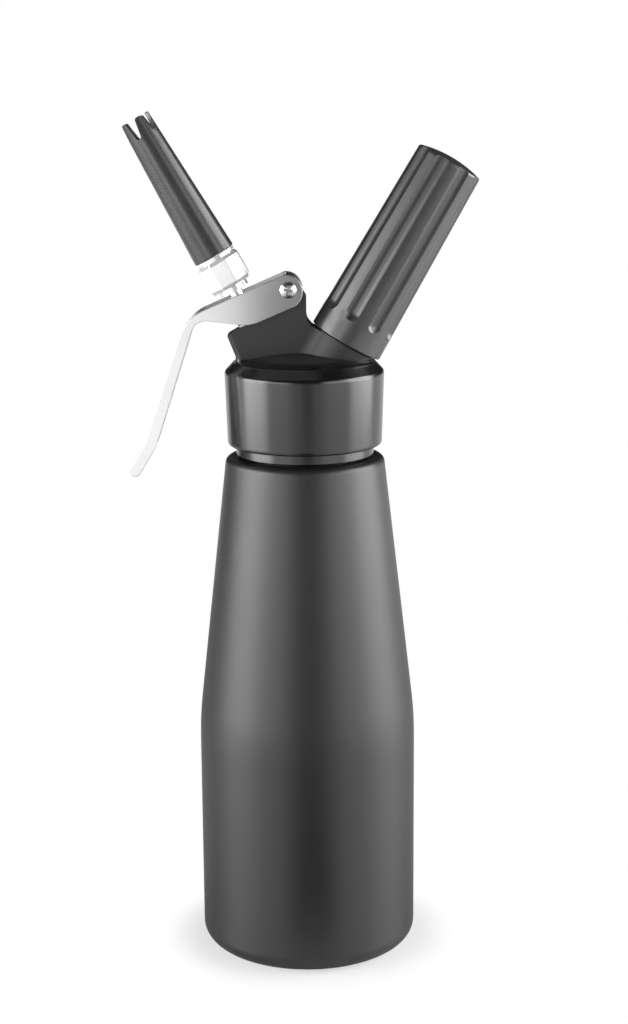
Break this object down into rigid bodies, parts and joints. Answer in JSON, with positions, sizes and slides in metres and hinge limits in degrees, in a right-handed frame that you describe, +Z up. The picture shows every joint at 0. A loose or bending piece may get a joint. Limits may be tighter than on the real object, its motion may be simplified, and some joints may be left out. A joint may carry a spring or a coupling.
{
  "type": "cream whipper",
  "caption": "Pressurised bottle with a screw-on head that carries a squeeze lever, a slanted valve with a pronged decorating nozzle, and a slanted fluted gas charger holder.",
  "frame": {"origin": "on the bottle's axis, on the plane that its foot ring stands on", "axes": "+Z up along the bottle's axis; the lever and the nozzle lean towards -X, the charger holder towards +X; -Y is the side that the picture shows"},
  "size_m": [0.1416, 0.09, 0.3474],
  "materials": {
    "coated_bottle": "matt black coating",
    "coated_head": "satin black coating",
    "polished_steel": "polished",
    "turned_steel": "turned and polished",
    "spring_steel": "drawn wire",
    "charger_steel": "plated",
    "brass": "turned",
    "black_plastic": "satin",
    "black_grip": "satin",
    "white_plastic": "plain",
    "pale_silicone": "soft",
    "dark_rubber": "soft"
  },
  "bodies": {
    "bottle": {"bottle": "coated_bottle"},
    "gasket_ring": {"head_gasket": "pale_silicone"},
    "head": {"head_casting": "coated_head", "pivot_screw": "polished_steel", "pivot_nut": "polished_steel", "pivot_washers": "white_plastic", "valve_sleeve": "black_plastic", "sleeve_seal": "pale_silicone", "stem_o_ring": "dark_rubber", "valve_spring": "spring_steel", "charger_fitting": "brass", "fitting_seal": "dark_rubber", "check_sleeve": "pale_silicone", "piercing_pin": "turned_steel", "charger_gasket": "dark_rubber"},
    "lever": {"lever": "polished_steel"},
    "valve": {"valve_stem": "turned_steel", "valve_disc": "turned_steel", "valve_seal": "dark_rubber", "nozzle_adapter": "turned_steel", "adapter_seal": "dark_rubber"},
    "nozzle_washer": {"nozzle_seal": "pale_silicone"},
    "nozzle": {"nozzle": "black_plastic"},
    "charger": {"gas_charger": "charger_steel"},
    "holder": {"holder_grip": "black_grip", "holder_insert": "brass"}
  },
  "joints": [
    {"name": "head_rise", "type": "slide", "parent": "bottle", "child": "gasket_ring", "axis": [0, 0, 1], "range_m": [0, 0.01]},
    {"name": "head_turn", "type": "hinge", "parent": "gasket_ring", "child": "head", "pos_m": [0, 0, 0.2375], "axis": [0, 0, 1], "range_deg": [0, 900.01]},
    {"name": "lever_squeeze", "type": "hinge", "parent": "head", "child": "lever", "pos_m": [-0.00614, 0, 0.27722], "axis": [0, -1, 0], "range_deg": [0, 12]},
    {"name": "valve_push", "type": "slide", "parent": "head", "child": "valve", "axis": [0.4939, 0, -0.8695], "range_m": [0, 0.00401], "stiffness_N_per_m": 1500, "springref_m": -0.004, "deforming": ["valve_spring"]},
    {"name": "nozzle_rise", "type": "slide", "parent": "valve", "child": "nozzle_washer", "axis": [-0.4939, 0, 0.8695], "range_m": [0, 0.006]},
    {"name": "nozzle_turn", "type": "hinge", "parent": "nozzle_washer", "child": "nozzle", "pos_m": [-0.03569, 0, 0.29062], "axis": [-0.4939, 0, 0.8695], "range_deg": [0, 1080.01]},
    {"name": "charger_rise", "type": "slide", "parent": "head", "child": "charger", "axis": [0.503, 0, 0.8643], "range_m": [0, 0.01]},
    {"name": "holder_turn", "type": "hinge", "parent": "charger", "child": "holder", "pos_m": [0.017, 0, 0.25581], "axis": [0.503, 0, 0.8643], "range_deg": [0, 1440.01]}
  ],
  "couplings": [
    {"joint": "head_turn", "follows": "head_rise", "rad_per_m": 1570.8},
    {"joint": "lever_squeeze", "follows": "valve_push", "rad_per_m": 52.203},
    {"joint": "nozzle_turn", "follows": "nozzle_rise", "rad_per_m": 3141.6},
    {"joint": "holder_turn", "follows": "charger_rise", "rad_per_m": 2513.3}
  ]
}
